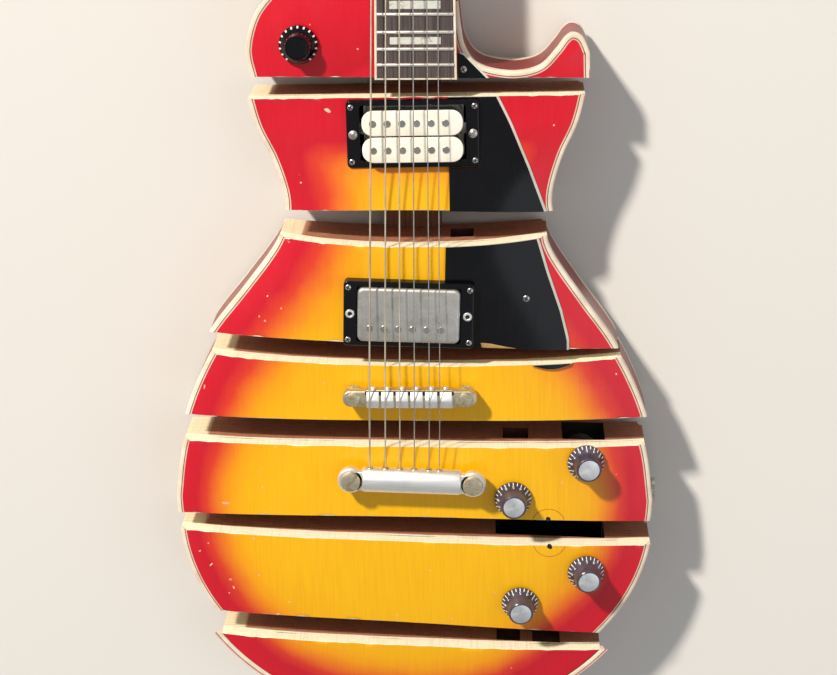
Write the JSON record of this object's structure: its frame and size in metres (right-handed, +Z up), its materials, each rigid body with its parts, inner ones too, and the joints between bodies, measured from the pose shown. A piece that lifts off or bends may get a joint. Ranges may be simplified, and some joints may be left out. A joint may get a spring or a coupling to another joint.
{
  "type": "broken electric guitar",
  "caption": "Single-cut carved-top electric guitar with its body sawn across into slices, spread apart along a batten, with whole strings over the gaps.",
  "frame": {"origin": "bottom centre of the bounding box, on the surface that the guitar lies on", "axes": "+Y along the neck towards the head, +Z up out of the face, +X towards the treble side"},
  "size_m": [0.3396, 1.1164, 0.0879],
  "materials": {
    "lacquered_body": "glossy worn lacquer with edge binding",
    "batten": "bare dark wood",
    "neck_wood": "satin stained",
    "fingerboard_wood": "oiled",
    "bone": "satin",
    "black_plastic": "glossy, scuffed",
    "cream_plastic": "satin",
    "nickel": "worn plate",
    "worn_plate": "worn yellowed plate",
    "steel": "plain"
  },
  "bodies": {
    "guitar": {"bridge_body": "worn_plate", "bridge_pickup": "nickel", "bridge_pickup_ring": "black_plastic", "bridge_post_bass": "worn_plate", "bridge_post_treble": "worn_plate", "fretboard": "fingerboard_wood", "jack_socket": "nickel", "neck": "neck_wood", "neck_pickup_base": "nickel", "neck_pickup_bobbin_lower": "cream_plastic", "neck_pickup_bobbin_upper": "cream_plastic", "neck_pickup_ring": "black_plastic", "nut": "bone", "pickguard_lower": "black_plastic", "pickguard_middle": "black_plastic", "pickguard_upper": "black_plastic", "pot_lower_middle": "steel", "pot_lower_treble": "steel", "pot_upper_middle": "steel", "pot_upper_treble": "steel", "selector_switch": "steel", "slice_1": "lacquered_body", "slice_2": "lacquered_body", "slice_3": "lacquered_body", "slice_4": "lacquered_body", "slice_5": "lacquered_body", "slice_6": "lacquered_body", "slice_7": "lacquered_body", "spine": "batten", "strap_button_neck": "nickel", "strap_button_tail": "nickel", "string_1": "steel", "string_2": "steel", "string_3": "steel", "string_4": "steel", "string_5": "steel", "string_6": "steel", "tailpiece": "worn_plate", "tailpiece_stud_bass": "worn_plate", "tailpiece_stud_treble": "worn_plate", "truss_rod_cover": "black_plastic", "tuner_plate_bass": "nickel", "tuner_plate_treble": "nickel"},
    "knob_upper_treble": {"knob_upper_treble": "black_plastic"},
    "knob_upper_middle": {"knob_upper_middle": "black_plastic"},
    "knob_lower_treble": {"knob_lower_treble": "black_plastic"},
    "knob_lower_middle": {"knob_lower_middle": "black_plastic"},
    "selector_knob": {"selector_knob": "black_plastic"},
    "tuner_button_1": {"tuner_button_1": "nickel"},
    "tuner_button_2": {"tuner_button_2": "nickel"},
    "tuner_button_3": {"tuner_button_3": "nickel"},
    "tuner_button_4": {"tuner_button_4": "nickel"},
    "tuner_button_5": {"tuner_button_5": "nickel"},
    "tuner_button_6": {"tuner_button_6": "nickel"},
    "tuner_post_1": {"tuner_post_1": "nickel"},
    "tuner_post_2": {"tuner_post_2": "nickel"},
    "tuner_post_3": {"tuner_post_3": "nickel"},
    "tuner_post_4": {"tuner_post_4": "nickel"},
    "tuner_post_5": {"tuner_post_5": "nickel"},
    "tuner_post_6": {"tuner_post_6": "nickel"}
  },
  "joints": [
    {"name": "knob_upper_treble_turn", "type": "hinge", "parent": "guitar", "child": "knob_upper_treble", "pos_m": [0.11921, -0.34387, 0.06328], "axis": [0.117, 0.0149, 0.993], "range_deg": [-140, 140]},
    {"name": "knob_upper_middle_turn", "type": "hinge", "parent": "guitar", "child": "knob_upper_middle", "pos_m": [0.06879, -0.36983, 0.06708], "axis": [0.0372, -0.0072, 0.9993], "range_deg": [-140, 140]},
    {"name": "knob_lower_treble_turn", "type": "hinge", "parent": "guitar", "child": "knob_lower_treble", "pos_m": [0.12026, -0.42762, 0.06227], "axis": [0.1077, -0.0554, 0.9926], "range_deg": [-140, 140]},
    {"name": "knob_lower_middle_turn", "type": "hinge", "parent": "guitar", "child": "knob_lower_middle", "pos_m": [0.07372, -0.45122, 0.06412], "axis": [0.0428, -0.0752, 0.9963], "range_deg": [-140, 140]},
    {"name": "selector_knob_turn", "type": "hinge", "parent": "guitar", "child": "selector_knob", "pos_m": [-0.07349, -0.04992, 0.056], "axis": [0, 0, 1], "range_deg": [-140, 140]},
    {"name": "tuner_button_1_turn", "type": "hinge", "parent": "guitar", "child": "tuner_button_1", "pos_m": [0.03741, 0.43075, 0.02484], "axis": [1, 0, 0], "continuous": true},
    {"name": "tuner_post_1_turn", "type": "hinge", "parent": "guitar", "child": "tuner_post_1", "pos_m": [0.02841, 0.43464, 0.0469], "axis": [0, 0.1736, 0.9848], "continuous": true},
    {"name": "tuner_button_2_turn", "type": "hinge", "parent": "guitar", "child": "tuner_button_2", "pos_m": [0.03741, 0.47015, 0.01789], "axis": [1, 0, 0], "continuous": true},
    {"name": "tuner_post_2_turn", "type": "hinge", "parent": "guitar", "child": "tuner_post_2", "pos_m": [0.02841, 0.47404, 0.03995], "axis": [0, 0.1736, 0.9848], "continuous": true},
    {"name": "tuner_button_3_turn", "type": "hinge", "parent": "guitar", "child": "tuner_button_3", "pos_m": [0.03741, 0.50954, 0.01095], "axis": [1, 0, 0], "continuous": true},
    {"name": "tuner_post_3_turn", "type": "hinge", "parent": "guitar", "child": "tuner_post_3", "pos_m": [0.02841, 0.51343, 0.03301], "axis": [0, 0.1736, 0.9848], "continuous": true},
    {"name": "tuner_button_4_turn", "type": "hinge", "parent": "guitar", "child": "tuner_button_4", "pos_m": [-0.02859, 0.50954, 0.01095], "axis": [-1, 0, 0], "continuous": true},
    {"name": "tuner_post_4_turn", "type": "hinge", "parent": "guitar", "child": "tuner_post_4", "pos_m": [-0.01959, 0.51343, 0.03301], "axis": [0, 0.1736, 0.9848], "continuous": true},
    {"name": "tuner_button_5_turn", "type": "hinge", "parent": "guitar", "child": "tuner_button_5", "pos_m": [-0.02859, 0.47015, 0.01789], "axis": [-1, 0, 0], "continuous": true},
    {"name": "tuner_post_5_turn", "type": "hinge", "parent": "guitar", "child": "tuner_post_5", "pos_m": [-0.01959, 0.47404, 0.03995], "axis": [0, 0.1736, 0.9848], "continuous": true},
    {"name": "tuner_button_6_turn", "type": "hinge", "parent": "guitar", "child": "tuner_button_6", "pos_m": [-0.02859, 0.43075, 0.02484], "axis": [-1, 0, 0], "continuous": true},
    {"name": "tuner_post_6_turn", "type": "hinge", "parent": "guitar", "child": "tuner_post_6", "pos_m": [-0.01959, 0.43464, 0.0469], "axis": [0, 0.1736, 0.9848], "continuous": true}
  ],
  "couplings": [
    {"joint": "tuner_post_1_turn", "follows": "tuner_button_1_turn", "ratio": -0.071429},
    {"joint": "tuner_post_2_turn", "follows": "tuner_button_2_turn", "ratio": -0.071429},
    {"joint": "tuner_post_3_turn", "follows": "tuner_button_3_turn", "ratio": -0.071429},
    {"joint": "tuner_post_4_turn", "follows": "tuner_button_4_turn", "ratio": 0.071429},
    {"joint": "tuner_post_5_turn", "follows": "tuner_button_5_turn", "ratio": 0.071429},
    {"joint": "tuner_post_6_turn", "follows": "tuner_button_6_turn", "ratio": 0.071429}
  ]
}
